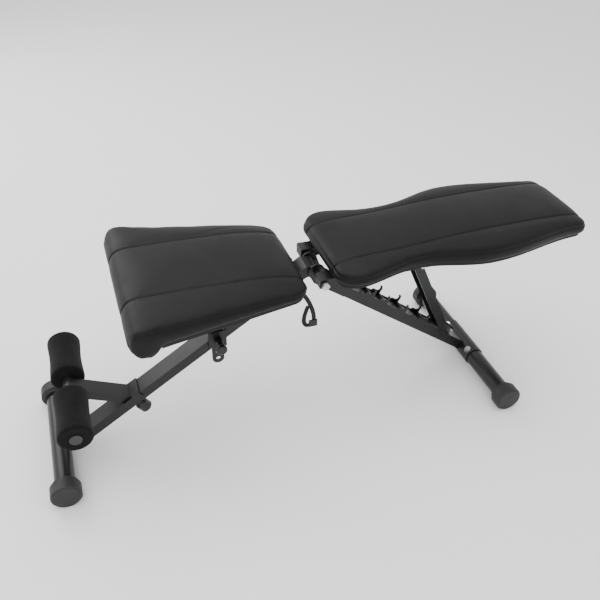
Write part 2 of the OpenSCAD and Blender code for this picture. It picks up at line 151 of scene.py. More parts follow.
def read_normals(mesh: bpy.types.Mesh) -> Array:
    """The mesh's normals at its points."""
    return read_vectors(mesh.vertex_normals, "vector")


def profile(x: Array, table: Table) -> Array:
    """Straight runs between the places and values of a table, which is in millimetres."""
    places, values = np.array(table, float).T * MM
    return np.interp(x, places, values)


def write_points(mesh: bpy.types.Mesh, points: Array) -> None:
    """Puts the points back into the mesh."""
    mesh.vertices.foreach_set("co", points.astype(np.float32).ravel())
    mesh.update()


def bake_modifiers(obj: bpy.types.Object) -> None:
    """Replaces an object's mesh by the result of its modifiers, and removes them."""
    bpy.context.view_layer.update()
    baked = bpy.data.meshes.new_from_object(obj.evaluated_get(bpy.context.evaluated_depsgraph_get()))
    obj.modifiers.clear()
    old = obj.data
    obj.data = baked
    bpy.data.meshes.remove(old)


# ---------------------------------------------------------------- materials


class Pattern(Enum):
    """The texture nodes that the finishes use."""

    NOISE = "ShaderNodeTexNoise"
    VORONOI = "ShaderNodeTexVoronoi"
    WAVE = "ShaderNodeTexWave"


class Recipe:
    """Builds one material out of nodes that read Object coordinates."""

    def __init__(self, name: str) -> None:
        """Starts an empty material with one Principled shader."""
        self.material = bpy.data.materials.new(name)
        self.material.use_nodes = True
        self.tree = self.material.node_tree
        self.shader = next(n for n in self.tree.nodes if n.type == "BSDF_PRINCIPLED")
        self.coords = self.tree.nodes.new("ShaderNodeTexCoord").outputs["Object"]

    def constants(self, **values: object) -> "Recipe":
        """Sets numbers and colours on the shader's own sockets; an underscore stands for a space."""
        for key, value in values.items():
            self.shader.inputs[key.replace("_", " ")].default_value = value
        return self

    def node(self, kind: str, **inputs: object) -> bpy.types.Node:
        """Adds a node and fills its inputs with values or with other nodes' sockets.

        Args:
            kind: the node's type.
            inputs: input name, with underscores for spaces, and its value or the socket that feeds it.

        Returns:
            The new node.
        """
        made = self.tree.nodes.new(kind)
        for key, value in inputs.items():
            self.feed(made.inputs[key.replace("_", " ")], value)
        return made

    def feed(self, socket: bpy.types.NodeSocket, value: object) -> None:
        """Links a socket to an input, or sets the input's value."""
        if isinstance(value, bpy.types.NodeSocket):
            self.tree.links.new(value, socket)
        else:
            socket.default_value = value

    def placed(self, scale: Sequence[float], turn: Sequence[float] = (0, 0, 0)) -> bpy.types.NodeSocket:
        """Object coordinates, stretched and turned."""
        return self.node("ShaderNodeMapping", Vector=self.coords, Scale=scale, Rotation=turn).outputs["Vector"]

    def noise(self, scale: float, detail: float = 3.0,
              stretch: Sequence[float] = (1, 1, 1)) -> bpy.types.NodeSocket:
        """A noise value between 0 and 1."""
        made = self.node(Pattern.NOISE.value, Vector=self.placed(stretch), Scale=scale, Detail=detail)
        return made.outputs[0]

    def cells(self, scale: float) -> bpy.types.NodeSocket:
        """Distance to the nearest cell's middle."""
        return self.node(Pattern.VORONOI.value, Vector=self.coords, Scale=scale).outputs["Distance"]

    def math(self, what: str, a: object, b: object = 0.0, clamp: bool = False) -> bpy.types.NodeSocket:
        """One sum of two values."""
        made = self.tree.nodes.new("ShaderNodeMath")
        made.operation = what
        made.use_clamp = clamp
        self.feed(made.inputs[0], a)
        self.feed(made.inputs[1], b)
        return made.outputs[0]

    def ramp(self, value: bpy.types.NodeSocket, low: float, high: float) -> bpy.types.NodeSocket:
        """0 below low, 1 above high, and a smooth rise between them."""
        made = self.node("ShaderNodeMapRange", Value=value, From_Min=low, From_Max=high)
        made.interpolation_type = "SMOOTHSTEP"
        return made.outputs["Result"]

    def spread(self, value: bpy.types.NodeSocket, low: float, high: float) -> bpy.types.NodeSocket:
        """Spreads a value between 0 and 1 over the run from low to high."""
        return self.node("ShaderNodeMapRange", Value=value, To_Min=low, To_Max=high).outputs["Result"]

    def between(self, share: bpy.types.NodeSocket, first: Color, second: Color) -> bpy.types.NodeSocket:
        """A colour that goes from the first to the second as share goes from 0 to 1."""
        return self.color_mix(share, (*first, 1.0), (*second, 1.0))

    def color_mix(self, share: object, first: object, second: object) -> bpy.types.NodeSocket:
        """Mixes two colour sockets or colours."""
        made = self.tree.nodes.new("ShaderNodeMix")
        made.data_type = "RGBA"
        self.feed(made.inputs[0], share)
        self.feed(made.inputs[6], first)
        self.feed(made.inputs[7], second)
        return made.outputs[2]

    def bump(self, height: bpy.types.NodeSocket, strength: float, depth: float,
             under: Optional[bpy.types.NodeSocket] = None) -> bpy.types.NodeSocket:
        """A bump from a height, over another bump if one is given."""
        made = self.node("ShaderNodeBump", Height=height, Strength=strength, Distance=depth)
        if under is not None:
            self.feed(made.inputs["Normal"], under)
        return made.outputs["Normal"]

    def set(self, **sockets: bpy.types.NodeSocket) -> "Recipe":
        """Feeds the shader's inputs from other nodes."""
        for key, value in sockets.items():
            self.feed(self.shader.inputs[key.replace("_", " ")], value)
        return self


@dataclass(frozen=True)
class PowderCoat:
    """Baked powder paint on steel: fine orange peel, faint dust and rubbed spots."""

    name: str
    base: Color
    worn: Color
    roughness: tuple[float, float] = (0.34, 0.46)
    peel: float = 900.0

    def build(self) -> bpy.types.Material:
        """Makes the material."""
        r = Recipe(self.name).constants(Specular_IOR_Level=0.35, Metallic=0.0)
        rubbed = r.ramp(r.noise(38.0, 6.0), 0.60, 0.78)
        dust = r.ramp(r.noise(9.0, 4.0), 0.35, 0.75)
        dusty = tuple(1.25 * channel for channel in self.base)
        color = r.color_mix(rubbed, r.between(dust, self.base, dusty), (*self.worn, 1))
        peel = r.bump(r.noise(self.peel, 2.0), 0.10, 0.0004)
        scratches = r.bump(r.noise(60.0, 8.0, (1, 9, 9)), 0.04, 0.0004, peel)
        rough = r.spread(r.noise(24.0, 4.0), *self.roughness)
        return r.set(Base_Color=color, Roughness=rough, Normal=scratches).material


@dataclass(frozen=True)
class Zinc:
    """Bright zinc plate with a faint drawn grain and duller patches."""

    name: str = "zinc_plate"
    base: Color = (0.62, 0.63, 0.64)
    dull: Color = (0.40, 0.40, 0.41)

    def build(self) -> bpy.types.Material:
        """Makes the material."""
        r = Recipe(self.name).constants(Metallic=0.95)
        patches = r.ramp(r.noise(70.0, 5.0), 0.42, 0.70)
        rough = r.spread(r.noise(110.0, 4.0), 0.24, 0.42)
        grain = r.bump(r.noise(260.0, 4.0, (1, 0.15, 1)), 0.12, 0.0003)
        color = r.between(patches, self.base, self.dull)
        return r.set(Base_Color=color, Roughness=rough, Normal=grain).material


@dataclass(frozen=True)
class Moulded:
    """Moulded rubber or plastic: an even grain and a slightly dusty face."""

    name: str
    base: Color
    dusty: Color
    rough: float = 0.62
    grain: float = 700.0
    depth: float = 0.10

    def build(self) -> bpy.types.Material:
        """Makes the material."""
        r = Recipe(self.name).constants(Specular_IOR_Level=0.4)
        dust = r.ramp(r.noise(28.0, 5.0), 0.38, 0.78)
        rough = r.spread(r.noise(45.0, 4.0), self.rough - 0.06, self.rough + 0.08)
        grain = r.bump(r.cells(self.grain), self.depth, 0.0003)
        return r.set(Base_Color=r.between(dust, self.base, self.dusty), Roughness=rough, Normal=grain).material


@dataclass(frozen=True)
class FoamSkin:
    """Closed-cell foam: a dry, open-looking skin of fine cells."""

    name: str = "foam_skin"
    base: Color = (0.0020, 0.0020, 0.0021)
    light: Color = (0.0050, 0.0050, 0.0053)

    def build(self) -> bpy.types.Material:
        """Makes the material."""
        r = Recipe(self.name).constants(Specular_IOR_Level=0.15, Roughness=0.92, Sheen_Weight=0.03,
                                        Sheen_Roughness=0.6)
        cells = r.cells(900.0)
        blotch = r.ramp(r.noise(55.0, 6.0), 0.3, 0.8)
        pits = r.bump(cells, 0.45, 0.0005)
        normal = r.bump(r.noise(120.0, 4.0), 0.25, 0.0008, pits)
        return r.set(Base_Color=r.between(blotch, self.base, self.light), Normal=normal).material


@dataclass(frozen=True)
class Ply:
    """Stained plywood board."""

    name: str = "stained_ply"
    dark: Color = (0.0035, 0.0030, 0.0026)
    light: Color = (0.0085, 0.0072, 0.0058)

    def build(self) -> bpy.types.Material:
        """Makes the material."""
        r = Recipe(self.name).constants(Specular_IOR_Level=0.3)
        grain = r.noise(46.0, 8.0, (0.12, 1, 1))
        rough = r.spread(grain, 0.55, 0.8)
        return r.set(Base_Color=r.between(r.ramp(grain, 0.3, 0.7), self.dark, self.light), Roughness=rough,
                     Normal=r.bump(grain, 0.2, 0.0004)).material


@dataclass(frozen=True)
class Webbing:
    """Woven nylon tape: ribs across it and a twill along it."""

    name: str = "webbing"
    dark: Color = (0.004, 0.004, 0.0045)
    light: Color = (0.014, 0.014, 0.015)

    def build(self) -> bpy.types.Material:
        """Makes the material from the tape's own UV map, in metres along and across."""
        r = Recipe(self.name).constants(Specular_IOR_Level=0.3, Roughness=0.85, Sheen_Weight=0.1)
        uv = r.tree.nodes.new("ShaderNodeUVMap")
        uv.uv_map = "UVMap"
        ribs = r.node(Pattern.WAVE.value, Vector=uv.outputs[0], Scale=190.0, Distortion=0.6).outputs[1]
        twill_at = r.node("ShaderNodeMapping", Vector=uv.outputs[0], Rotation=(0, 0, 0.9)).outputs[0]
        twill = r.node(Pattern.WAVE.value, Vector=twill_at, Scale=260.0, Distortion=0.4).outputs[1]
        weave = r.math("MULTIPLY", ribs, twill)
        color = r.between(weave, self.dark, self.light)
        return r.set(Base_Color=color, Normal=r.bump(weave, 0.5, 0.0005)).material


@dataclass(frozen=True)
class Vinyl:
    """Black vinyl upholstery: pebbled grain, soft creases, and seams that run along the pad."""

    name: str
    seam_y: float
    base: Color = (0.0030, 0.0031, 0.0033)
    light: Color = (0.0046, 0.0047, 0.0050)
    seam: Color = (0.0008, 0.0008, 0.0009)
    thread: Color = (0.007, 0.007, 0.0075)
    stitch_pitch: float = 4.2 * MM

    def build(self) -> bpy.types.Material:
        """Makes the material; the seams lie where the distance from the middle plane is seam_y."""
        r = Recipe(self.name).constants(Specular_IOR_Level=0.16, Sheen_Weight=0.01, Sheen_Roughness=0.4)
        parts = r.node("ShaderNodeSeparateXYZ", Vector=r.coords)
        from_seam = r.math("ABSOLUTE", r.math("SUBTRACT", r.math("ABSOLUTE", parts.outputs["Y"]), self.seam_y))
        in_seam = r.math("SUBTRACT", 1.0, r.ramp(from_seam, 0.0003, 0.0016))
        from_stitch = r.math("ABSOLUTE", r.math("SUBTRACT", from_seam, 4.0 * MM))
        in_row = r.math("SUBTRACT", 1.0, r.ramp(from_stitch, 0.0003, 0.0008))
        phase = r.math("SINE", r.math("MULTIPLY", parts.outputs["X"], 2.0 * math.pi / self.stitch_pitch))
        stitch = r.math("MULTIPLY", in_row, r.ramp(phase, -0.35, 0.1))
        cloud = r.ramp(r.noise(14.0, 4.0), 0.3, 0.75)
        face = r.between(cloud, self.base, self.light)
        threaded = r.color_mix(r.math("MULTIPLY", stitch, 0.6), face, (*self.thread, 1))
        color = r.color_mix(in_seam, threaded, (*self.seam, 1))
        grain = r.bump(r.cells(1150.0), 0.16, 0.00035)
        creased = r.bump(r.noise(90.0, 6.0), 0.07, 0.0008, grain)
        stitched = r.bump(stitch, 0.25, 0.0004, creased)
        rough = r.spread(r.noise(30.0, 5.0), 0.44, 0.56)
        return r.set(Base_Color=color, Roughness=rough, Normal=stitched).material


# ---------------------------------------------------------------- pads


@dataclass
class Pad:
    """An upholstered pad: a closed crowned form that is inflated as cloth and then sewn.

    The form is a row of cross-sections along X. Each has a flat base, upright sides, a rolled edge of
    edge_radius, and a crown up to the middle.
    """

    name: str
    body: str
    node: str
    seam_y: float
    edge_radius: float = 11 * MM
    stations: int = 110
    swell: float = 5 * MM
    voxel: float = 5 * MM
    pressure: float = 4.0
    frames: int = 20
    groove: float = 2.4 * MM
    seam_width: float = 2.3 * MM
    ring_width: float = 2.2 * MM
    puff_width: float = 14 * MM
    base_inset: float = 3 * MM
    fill: float = 0.85

    # The methods down to held each return one value for each place that they are given
    def along(self) -> Array:
        """Places of the cross-sections along X."""
        raise NotImplementedError

    def half_width(self, x: Array) -> Array:
        """Half width at x."""
        raise NotImplementedError

    def base_z(self, x: Array) -> Array:
        """Height of the underside at x."""
        raise NotImplementedError

    def edge_z(self, x: Array) -> Array:
        """Height of the rolled edge's top at x."""
        raise NotImplementedError

    def crown_z(self, x: Array) -> Array:
        """Height of the middle at x."""
        raise NotImplementedError

    def side_seam(self, x: Array, z: Array) -> Array:
        """Distance of a point on the side from the seam that joins the side panel to the top."""
        raise NotImplementedError

    def held(self, points: Array) -> Array:
        """How firmly each point is held while the pad is inflated, from 0 to 1."""
        raise NotImplementedError

    def on_board(self, height: Array) -> Array:
        """How firmly the board holds a point at a height above it: fully up to 2 mm, and not above 10 mm."""
        return smooth_step(1.0 - (height - 2 * MM) / (8 * MM))

    def at_seam(self, y: Array) -> Array:
        """How firmly the long seams hold a point: a bell curve of its distance from them."""
        return 0.8 * bell(np.abs(y) - self.seam_y, 6 * MM)

    def form(self) -> bpy.types.Object:
        """Builds the pad before it is inflated.

        Half of a section runs from the middle of the base, out to the side, up to the rolled edge, round a
        quarter circle, and in along a crown that falls with the cube of the distance from the middle.

        Returns:
            The closed mesh object.
        """
        x = self.along()
        w, low = self.half_width(x)[:, None], self.base_z(x)[:, None]
        top = np.maximum(self.crown_z(x), self.base_z(x))[:, None]
        edge = np.clip(self.edge_z(x)[:, None], low, top)
        r = np.minimum(np.minimum(self.edge_radius, w * 0.45), (edge - low) * 0.9)
        t = np.linspace(0.0, 1.0, 9)[None, :]
        turn = t * np.pi / 2
        under_y, under_z = (w - self.base_inset) * t, low + 0 * t
        side_y, side_z = w + 0 * t[:, 1:], low + (edge - r - low) * t[:, 1:]
        arc_y, arc_z = w - r + r * np.cos(turn), edge - r + r * np.sin(turn)
        u = np.linspace(1.0, 0.0, 26)[None, 1:]
        crown_y = (w - r) * u
        crown_z = edge + (top - edge) * (1.0 - u ** 3)
        ys = np.concatenate([under_y, side_y, arc_y[:, 1:], crown_y], axis=1)
        zs = np.concatenate([under_z, side_z, arc_z[:, 1:], crown_z], axis=1)
        ys = np.concatenate([ys, -ys[:, -2:0:-1]], axis=1)
        zs = np.concatenate([zs, zs[:, -2:0:-1]], axis=1)
        xs = np.repeat(x[:, None], ys.shape[1], axis=1)
        points = np.stack([xs, ys, zs], axis=-1)
        faces = grid_faces(points.shape[0], points.shape[1], True).tolist()
        count = points.shape[1]
        last = (points.shape[0] - 1) * count
        faces += [list(range(count)), [last + i for i in range(count)]]
        return mesh_object(self.name, points, faces)

    def inflate(self, obj: bpy.types.Object) -> None:
        """Remeshes the form evenly, inflates it as cloth, and limits how far any point moved."""
        remesh = obj.modifiers.new("Even", "REMESH")
        remesh.mode = "VOXEL"
        remesh.voxel_size = self.voxel
        relax = obj.modifiers.new("Relax", "SMOOTH")
        relax.factor = 0.5
        relax.iterations = 6
        bake_modifiers(obj)
        rest = read_points(obj.data)
        hold = np.clip(self.held(rest), 0.0, 1.0)
        group = obj.vertex_groups.new(name="held")
        for step in range(11):
            chosen = np.nonzero(np.round(hold * 10) == step)[0]
            group.add(chosen.tolist(), step / 10, "REPLACE")
        cloth = obj.modifiers.new("Cloth", "CLOTH")
        cloth.settings.use_pressure = True
        cloth.settings.uniform_pressure_force = self.pressure
        cloth.settings.effector_weights.gravity = 0.0
        cloth.settings.vertex_group_mass = "held"
        cloth.settings.quality = 4
        cloth.settings.tension_stiffness = 12.0
        cloth.settings.compression_stiffness = 12.0
        cloth.settings.bending_stiffness = 1.5
        scene = bpy.context.scene
        for number in range(1, self.frames + 1):
            scene.frame_set(number)
        bake_modifiers(obj)
        moved = read_points(obj.data) - rest
        far = np.linalg.norm(moved, axis=1)
        limit = self.swell * (1.0 - hold)
        share = np.minimum(1.0, limit / np.maximum(far, 1e-9))
        write_points(obj.data, rest + moved * share[:, None])
        scene.frame_set(1)
        log.info("%s swelled by up to %.1f mm", self.name, float((far * share).max()) / MM)
        ease_out = obj.modifiers.new("Ease", "SMOOTH")
        ease_out.factor = 0.5
        ease_out.iterations = 3
        finer = obj.modifiers.new("Finer", "SUBSURF")
        finer.levels = 1
        finer.render_levels = 1
        bake_modifiers(obj)

    def sew(self, obj: bpy.types.Object) -> None:
        """Presses the seams in: along both long seams, and round the top of the side panel.

        Each seam's depth falls off as a bell curve of the distance from it.
        """
        mesh = obj.data
        p, n = read_points(mesh), read_normals(mesh)
        from_seam = np.abs(p[:, 1]) - self.seam_y
        long_seam = bell(from_seam, self.seam_width)
        puff = bell(from_seam, self.puff_width) * 0.35
        depth = self.groove * (long_seam + puff) * np.where(n[:, 2] > -0.6, 1.0, 0.0)
        around = bell(self.side_seam(p[:, 0], p[:, 2]), self.ring_width)
        depth += 0.7 * self.groove * around * smooth_step((0.85 - np.abs(n[:, 2])) / 0.3)
        write_points(mesh, p - n * depth[:, None])

    def build(self, finish: Vinyl) -> bpy.types.Object:
        """Builds, inflates, sews and dresses the pad.

        Args:
            finish: the vinyl that covers it.

        Returns:
            The finished piece.
        """
        obj = self.form()
        self.inflate(obj)
        self.sew(obj)
        obj.data.shade_smooth()
        obj.data.materials.clear()
        obj.data.materials.append(finish.build())
        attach(obj, self.body)
        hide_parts(self.node)
        log.info("%s: %d faces", self.name, len(obj.data.polygons))
        return obj


@dataclass
class SeatPad(Pad):
    """The seat: wide in front, where it rolls over a thick round edge, and lower at the rear."""

    front: float = -446 * MM
    rear: float = -58 * MM
    roll_r: float = 38 * MM
    base: float = 424 * MM
    wide: float = 190 * MM
    narrow: float = 137 * MM
    front_corner: float = 26 * MM
    rear_corner: float = 42 * MM
    # Millimetres along X, and the middle's height or the side panel's drop from it
    crown: Table = ((-403, 475.5), (-360, 476), (-300, 476), (-243, 474), (-198, 473), (-154, 470), (-109, 463),
                    (-80, 454), (-70, 448), (-64, 441), (-59.5, 433), (-58, 426))
    drop: Table = ((-446, 1), (-420, 2), (-403, 3), (-380, 6), (-330, 12), (-240, 16), (-150, 18), (-100, 15),
                   (-75, 9), (-58, 1))

    @property
    def roll_x(self) -> float:
        """Middle of the front roll."""
        return self.front + self.roll_r

    @property
    def roll_z(self) -> float:
        """Height of the middle of the front roll."""
        return self.base + 14 * MM

    def along(self) -> Array:
        """Stations that crowd at both ends."""
        return end_spaced(self.front, self.rear, self.stations)

    def half_width(self, x: Array) -> Array:
        """Straight taper from wide to narrow, less a quarter ellipse at each corner."""
        share = np.clip((x - self.front - 30 * MM) / (340 * MM), -0.05, 1.06)
        taper = self.wide + (self.narrow - self.wide) * share
        return taper - corner(x - self.front, self.front_corner, 24 * MM) \
            - corner(self.rear - x, self.rear_corner, 38 * MM)

    def base_z(self, x: Array) -> Array:
        """The underside: half a circle under the roll, then a step up to the board."""
        ahead = np.clip((self.roll_x - x) / self.roll_r, 0.0, 1.0)
        roll = self.roll_z - self.roll_r * np.sqrt(1.0 - ahead ** 2)
        step = smooth_step((x - self.roll_x - 4 * MM) / (30 * MM)) ** 1.5
        return roll * (1 - step) + self.base * step

    def crown_z(self, x: Array) -> Array:
        """The middle's height: the roll's upper quarter, a level run, and a fall to the rounded rear."""
        ahead = np.clip((self.roll_x - x) / self.roll_r, 0.0, 1.0)
        roll = self.roll_z + self.roll_r * np.sqrt(1.0 - ahead ** 2) - 1.5 * MM
        return np.where(x < self.roll_x, roll, profile(x, self.crown))

    def edge_z(self, x: Array) -> Array:
        """The side panel's top: close under the crown at the roll, and lower along the side."""
        return self.crown_z(x) - profile(x, self.drop)

    def side_seam(self, x: Array, z: Array) -> Array:
        """Distance from a circle round the roll's end, or from a line just under the rolled edge."""
        ring = np.hypot(x - self.roll_x, z - self.roll_z) - (self.roll_r - 3 * MM)
        line = z - (self.edge_z(x) - 9 * MM)
        return np.where(x < self.roll_x, ring, line)

    def held(self, points: Array) -> Array:
        """Firm on the board and at the seams, and firmer toward the hinge."""
        x, y, z = points.T
        board = self.on_board(z - self.base_z(x)) * (x > self.roll_x)
        hinge = 0.75 * smooth_step((x + 110 * MM) / (45 * MM))
        return np.maximum.reduce([board, self.at_seam(y), hinge])


@dataclass
class BackPad(Pad):
    """The backrest: rounded hinge end, a waist, wide shoulders and a squared, tapered head end."""

    start: float = 3 * MM
    end: float = 661 * MM
    base: float = 428 * MM
    shoulder: float = 145 * MM
    waist: float = 112 * MM
    # Millimetres along X, and the middle's height or the side panel's drop from it
    crown: Table = ((3, 430), (4.5, 441), (9, 450), (15, 456), (22, 460), (38, 464), (62, 467), (143, 470),
                    (233, 475), (333, 478), (530, 479), (600, 477), (630, 472), (645, 466), (655, 457),
                    (660, 446), (661, 430))
    drop: Table = ((3, 0.5), (20, 4), (60, 9), (143, 11), (233, 11), (333, 11), (430, 11), (530, 12), (610, 12),
                   (640, 8), (661, 0.5))

    def along(self) -> Array:
        """Stations that crowd at both ends."""
        return end_spaced(self.start, self.end, self.stations)

    def half_width(self, x: Array) -> Array:
        """Three cosine runs between hinge, waist, shoulders and head, less an ellipse at each corner."""
        shoulder, waist = self.shoulder, self.waist
        first = (shoulder - 4 * MM) + (waist - shoulder + 4 * MM) * ease((x - 35 * MM) / (170 * MM))
        second = waist + (shoulder - waist) * ease((x - 205 * MM) / (180 * MM))
        third = shoulder + (waist - shoulder) * ease((x - 385 * MM) / (260 * MM))
        plain = np.where(x < 205 * MM, first, np.where(x < 385 * MM, second, third))
        return plain - corner(x - self.start, 66 * MM, 50 * MM) - corner(self.end - x, 28 * MM, 28 * MM)

    def base_z(self, x: Array) -> Array:
        """Flat on the board."""
        return self.base + 0 * x

    def crown_z(self, x: Array) -> Array:
        """The middle's height: round at the hinge end, a slow rise to the shoulders, round at the head."""
        return profile(x, self.crown)

    def edge_z(self, x: Array) -> Array:
        """The side panel's top, lower than the crown along the sides and close to it at the ends."""
        return self.crown_z(x) - profile(x, self.drop)

    def side_seam(self, x: Array, z: Array) -> Array:
        """Distance from a line just under the rolled edge."""
        inside = np.clip(x, self.start + 60 * MM, self.end - 40 * MM)
        return z - (self.edge_z(inside) - 12 * MM)

    def held(self, points: Array) -> Array:
        """Firm on the board and at the seams, and firmer toward the hinge."""
        x, y, z = points.T
        hinge = 0.75 * smooth_step((60 * MM - x) / (45 * MM))
        return np.maximum.reduce([self.on_board(z - self.base), self.at_seam(y), hinge])


def corner(distance: Array, length: float, width: float) -> Array:
    """What a quarter-ellipse corner takes off the half width.

    Args:
        distance: how far each station is from the end.
        length: the corner's length along X.
        width: the corner's width.

    Returns:
        width times (1 minus the root of 1 minus the squared share still to go).
    """
    share = np.clip(1.0 - distance / length, 0.0, 1.0)
    return width * (1.0 - np.sqrt(1.0 - share ** 2))


# ---------------------------------------------------------------- rollers and strap


@dataclass
class FoamRoller:
    """A waisted foam sleeve with rounded ends on the roller bar."""

    node: str
    body: str
    waist: float = 2.6 * MM
    end_radius: float = 7 * MM
    bore: float = 12.3 * MM
    dish: float = 1.2 * MM
    ripple: float = 0.35 * MM
    rings: int = 90
    around: int = 96

    def build(self, skin: bpy.types.Material) -> bpy.types.Object:
        """Turns the sleeve's profile about the bar.

        The radius is the full one, less the waist times a squared sine along the sleeve, less a quarter
        circle at each end, plus a faint ripple.

        Args:
            skin: the foam's material.

        Returns:
            The finished piece.
        """
        low, high = (np.array(c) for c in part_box(self.node))
        middle, reach = (low + high) / 2, (high - low) / 2
        r = reach[0] - 0.3 * MM
        y = end_spaced(-reach[1], reach[1], self.rings)
        to_end = reach[1] - np.abs(y)
        share = np.clip(1 - to_end / self.end_radius, 0, 1)
        rounding = self.end_radius * (1 - np.sqrt(1 - share ** 2))
        radius = r - self.waist * np.cos(np.pi * y / (2 * reach[1])) ** 2 - rounding
        bore = self.bore
        face = np.linspace(0, 1, 7)[:-1]
        first_face = bore + (radius[0] - bore) * face
        last_face = bore + (radius[-1] - bore) * face[::-1]
        radius = np.concatenate([first_face, radius, last_face])
        dent = self.dish * (1 - face)
        ys = np.concatenate([y[0] + dent, y, y[-1] - dent[::-1]])
        a = np.linspace(0, 2 * np.pi, self.around, endpoint=False)[None, :]
        ripple = self.ripple * np.sin(3 * a + 40 * ys[:, None]) * np.sin(2 * a + 1.3)
        grown = radius[:, None] + ripple * (radius[:, None] > 20 * MM)
        points = np.stack([middle[0] + grown * np.cos(a), middle[1] + ys[:, None] + 0 * a,
                           middle[2] + grown * np.sin(a)], axis=-1)
        rows, cols = points.shape[:2]
        faces = grid_faces(rows, cols, True).tolist()
        # The bore joins the two end faces
        last = (rows - 1) * cols
        faces += [[last + i, last + (i + 1) % cols, (i + 1) % cols, i] for i in range(cols)]
        obj = mesh_object(self.node + "_sleeve", points, faces)
        obj.data.materials.append(skin)
        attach(obj, self.body)
        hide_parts(self.node)
        return obj


@dataclass
class Strap:
    """The storage strap: flat tape that hangs from the seat and turns back on itself in a loop."""

    width: float = 10 * MM
    thick: float = 1.6 * MM
    steps: int = 90
    path: tuple[tuple[float, float, float], ...] = (
        (-79, -80.5, 411), (-66, -80.5, 399), (-54, -80.7, 384), (-45, -81, 366), (-37, -81.2, 345),
        (-32, -81.3, 325), (-31, -81, 308), (-38, -80.4, 298), (-49, -79.8, 297), (-55, -79.4, 306),
        (-55, -79, 322), (-51, -78.7, 340), (-46, -78.5, 354))

    def build(self, finish: Webbing) -> bpy.types.Object:
        """Carries a flat section along the path, and gives it a UV map in metres.

        The path is smoothed by repeated averaging of neighbours after linear resampling; the section's wide
        side lies across the path in the XZ plane.

        Args:
            finish: the tape's finish.

        Returns:
            The finished piece.
        """
        knots = np.array(self.path) * MM
        run = np.concatenate([[0], np.cumsum(np.linalg.norm(np.diff(knots, axis=0), axis=1))])
        s = np.linspace(0, run[-1], self.steps)
        centre = np.stack([np.interp(s, run, knots[:, i]) for i in range(3)], axis=1)
        for _ in range(14):
            centre[1:-1] = (centre[:-2] + 2 * centre[1:-1] + centre[2:]) / 4
        tangent = np.gradient(centre, axis=0)
        tangent /= np.linalg.norm(tangent, axis=1)[:, None]
        out = np.array([0.0, -1.0, 0.0])
        across = np.cross(tangent, out)
        across /= np.linalg.norm(across, axis=1)[:, None]
        normal = np.cross(across, tangent)
        section = np.array([(-1, -1), (-0.33, -1), (0.33, -1), (1, -1), (1, 1), (0.33, 1), (-0.33, 1), (-1, 1)])
        half = np.array([self.width / 2, self.thick / 2])
        points = (centre[:, None, :] + across[:, None, :] * (section[None, :, :1] * half[0])
                  + normal[:, None, :] * (section[None, :, 1:] * half[1]))
        cols = len(section)
        faces = grid_faces(self.steps, cols, True).tolist()
        last = (self.steps - 1) * cols
        faces += [list(range(cols)), [last + i for i in range(cols)]]
        obj = mesh_object("storage_strap", points, faces)
        self.unwrap(obj, centre, across)
        obj.data.materials.append(finish.build())
        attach(obj, "seat")
        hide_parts("strap")
        return obj

    def unwrap(self, obj: bpy.types.Object, centre: Array, across: Array) -> None:
        """Writes the UV map: metres along the nearest stretch of the path, and metres across it."""
        mesh = obj.data
        p = read_points(mesh)
        near = np.argmin(((p[:, None, :] - centre[None, :, :]) ** 2).sum(-1), axis=1)
        run = np.concatenate([[0], np.cumsum(np.linalg.norm(np.diff(centre, axis=0), axis=1))])
        uv = np.stack([run[near], ((p - centre[near]) * across[near]).sum(1)], axis=1)
        corners = np.empty(len(mesh.loops), np.int32)
        mesh.loops.foreach_get("vertex_index", corners)
        layer = mesh.uv_layers.new(name="UVMap")
        layer.data.foreach_set("uv", uv[corners].astype(np.float32).ravel())


# ---------------------------------------------------------------- metalwork, studio


@dataclass
class Metalwork:
    """Dresses the CAD nodes by their material slots."""

    finishes: dict[str, Callable[[], bpy.types.Material]]
    made: dict[str, bpy.types.Material] = field(default_factory=dict)

    def material(self, slot: str) -> bpy.types.Material:
        """The material of a slot, made once."""
        if slot not in self.made:
            self.made[slot] = self.finishes[slot]()
        return self.made[slot]

    def dress(self, skip: set[str]) -> None:
        """Gives every shown node its finish.

        Args:
            skip: nodes that a soft piece replaces.
        """
        for part in frame["record"]["subparts"]:
            node = part["node"]
            if node in skip:
                continue
            obj = frame["nodes"][node]
            material = self.material(part["material_slot"])
            for index in range(max(1, len(obj.material_slots))):
                if obj.material_slots:
                    obj.material_slots[index].material = material
                else:
                    obj.data.materials.append(material)
        log.info("dressed %d nodes in %d finishes", len(frame["nodes"]) - len(skip), len(self.made))


@dataclass(frozen=True)
class Lamp:
    """A square area light: where it stands, the point it faces, its side in metres and its watts."""

    name: str
    place: tuple[float, float, float]
    aim: tuple[float, float, float]
    size: float
    power: float

    def add(self) -> None:
        """Adds the light, turned so that it shines from its place toward its aim."""
        data = bpy.data.lights.new(self.name, "AREA")
        data.size = self.size
        data.energy = self.power
        obj = bpy.data.objects.new(self.name, data)
        bpy.context.scene.collection.objects.link(obj)
        back = np.array(self.place) - np.array(self.aim)
        back /= np.linalg.norm(back)
        side = np.cross((0.0, 0.0, 1.0), back)
        side /= np.linalg.norm(side)
        obj.matrix_world = placed_axes(side, np.cross(back, side), back, self.place)


def placed_axes(x: Array, y: Array, z: Array, place: Sequence[float]) -> Matrix:
    """The matrix of an object with these axes at this place."""
    return Matrix([[x[i], y[i], z[i], place[i]] for i in range(3)] + [[0, 0, 0, 1]])


